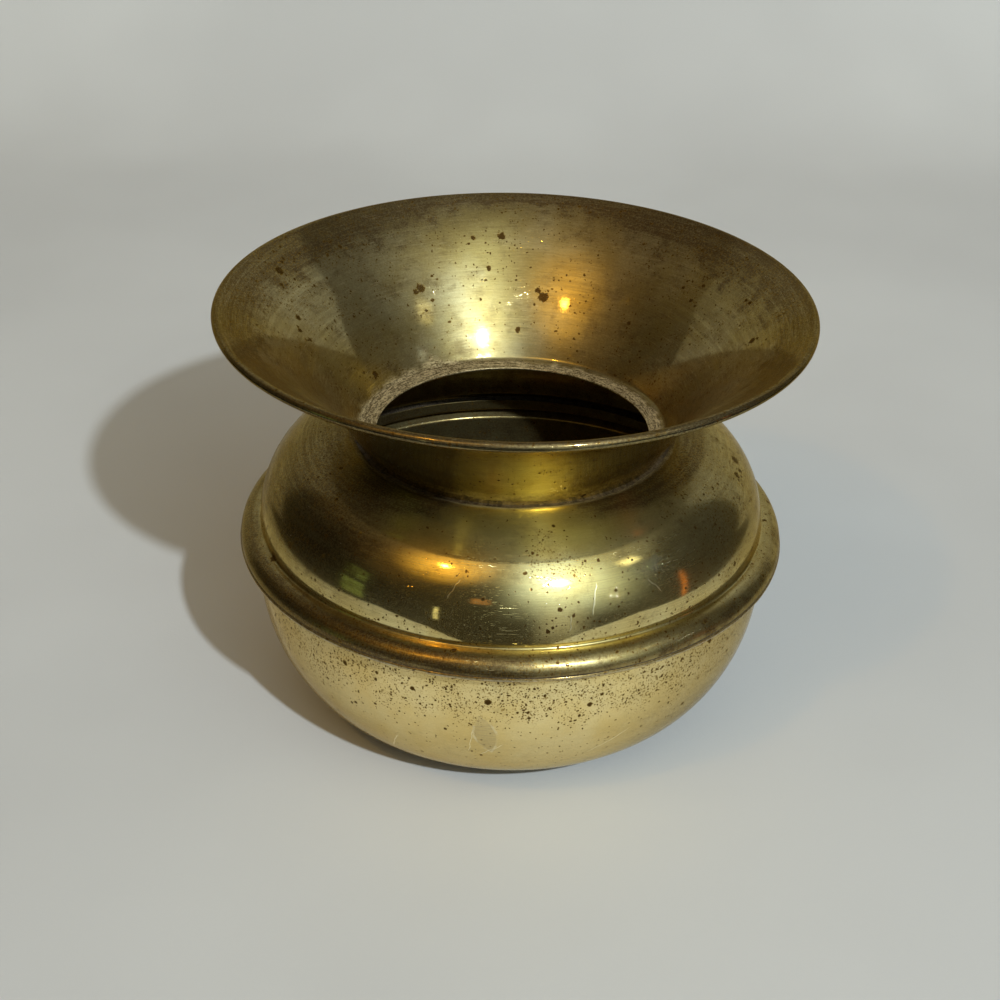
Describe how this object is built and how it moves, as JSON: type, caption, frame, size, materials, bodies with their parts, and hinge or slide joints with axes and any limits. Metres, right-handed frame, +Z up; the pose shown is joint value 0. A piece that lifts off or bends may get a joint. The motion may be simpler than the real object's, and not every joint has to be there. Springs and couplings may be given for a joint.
{
  "type": "spittoon",
  "caption": "Round brass vessel with a wide flared mouth and a rolled rim, a narrow neck, a domed shoulder, a belt at its widest part and a curved bowl on a flat foot ring.",
  "frame": {"origin": "centre of the base, on the surface that the foot ring stands on", "axes": "+Z up along the axis of revolution, through the middle of the mouth; every piece is round about Z, so X and Y are interchangeable"},
  "size_m": [0.254, 0.254, 0.1905],
  "materials": {
    "funnel_brass": "worn, brushed round the axis, tarnished towards the rim",
    "shoulder_brass": "worn lacquered polish with brown speckles",
    "bowl_brass": "worn lacquered polish with fine dark pitting",
    "base_brass": "dull tarnished brass",
    "solder": "dull grey soft solder",
    "steel_wire": "drawn",
    "cast_iron": "as cast"
  },
  "bodies": {
    "root": {"mouth_funnel": "funnel_brass", "rim_wire": "steel_wire", "neck_solder": "solder", "shoulder_shell": "shoulder_brass", "belt_solder": "solder", "lower_bowl": "bowl_brass", "base_weight": "cast_iron", "base_cover": "base_brass", "base_solder": "solder"}
  },
  "joints": []
}
